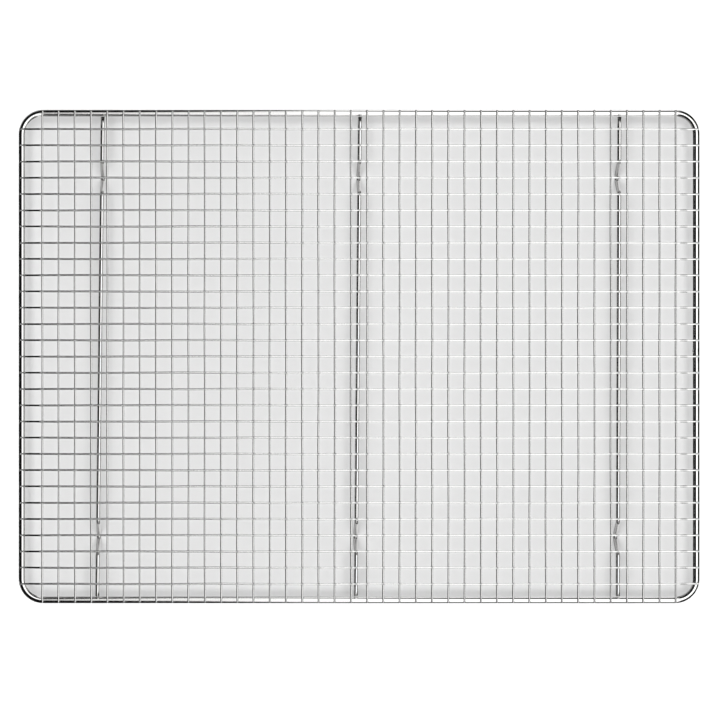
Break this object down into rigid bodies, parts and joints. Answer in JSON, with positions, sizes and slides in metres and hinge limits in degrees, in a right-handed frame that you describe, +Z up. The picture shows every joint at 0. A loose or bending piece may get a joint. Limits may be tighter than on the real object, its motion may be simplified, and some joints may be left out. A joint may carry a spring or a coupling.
{
  "type": "cooling rack",
  "caption": "Half-size wire cooling rack: round-cornered frame, square mat of thin crossed wires, and cross supports bent into V-shaped feet.",
  "frame": {"origin": "on the table under the middle of the rack", "axes": "+X along the rack's length and the long mat wires, +Y along the short mat wires and the supports, +Z up from the feet to the mat"},
  "size_m": [0.4196, 0.304, 0.022],
  "materials": {
    "frame": "bright plated steel wire",
    "support": "bright plated steel wire",
    "mat": "bright plated steel wire"
  },
  "bodies": {
    "root": {"frame_left": "frame", "frame_right": "frame", "frame_front": "frame", "frame_back": "frame", "support_1": "support", "support_2": "support", "support_3": "support", "long_wire_1": "mat", "long_wire_2": "mat", "long_wire_3": "mat", "long_wire_4": "mat", "long_wire_5": "mat", "long_wire_6": "mat", "long_wire_7": "mat", "long_wire_8": "mat", "long_wire_9": "mat", "long_wire_10": "mat", "long_wire_11": "mat", "long_wire_12": "mat", "long_wire_13": "mat", "long_wire_14": "mat", "long_wire_15": "mat", "long_wire_16": "mat", "long_wire_17": "mat", "long_wire_18": "mat", "long_wire_19": "mat", "long_wire_20": "mat", "long_wire_21": "mat", "long_wire_22": "mat", "long_wire_23": "mat", "long_wire_24": "mat", "long_wire_25": "mat", "long_wire_26": "mat", "long_wire_27": "mat", "long_wire_28": "mat", "long_wire_29": "mat", "short_wires_1_2": "mat", "short_wires_3_4": "mat", "short_wires_5_6": "mat", "short_wires_7_8": "mat", "short_wires_9_10": "mat", "short_wires_11_12": "mat", "short_wires_13_14": "mat", "short_wires_15_16": "mat", "short_wires_17_18": "mat", "short_wires_19_20": "mat", "short_wires_21_22": "mat", "short_wires_23_24": "mat", "short_wires_25_26": "mat", "short_wires_27_28": "mat", "short_wires_29_30": "mat", "short_wires_31_32": "mat", "short_wires_33_34": "mat", "short_wires_35_36": "mat", "short_wires_37_38": "mat", "short_wires_39_40": "mat"}
  },
  "joints": []
}
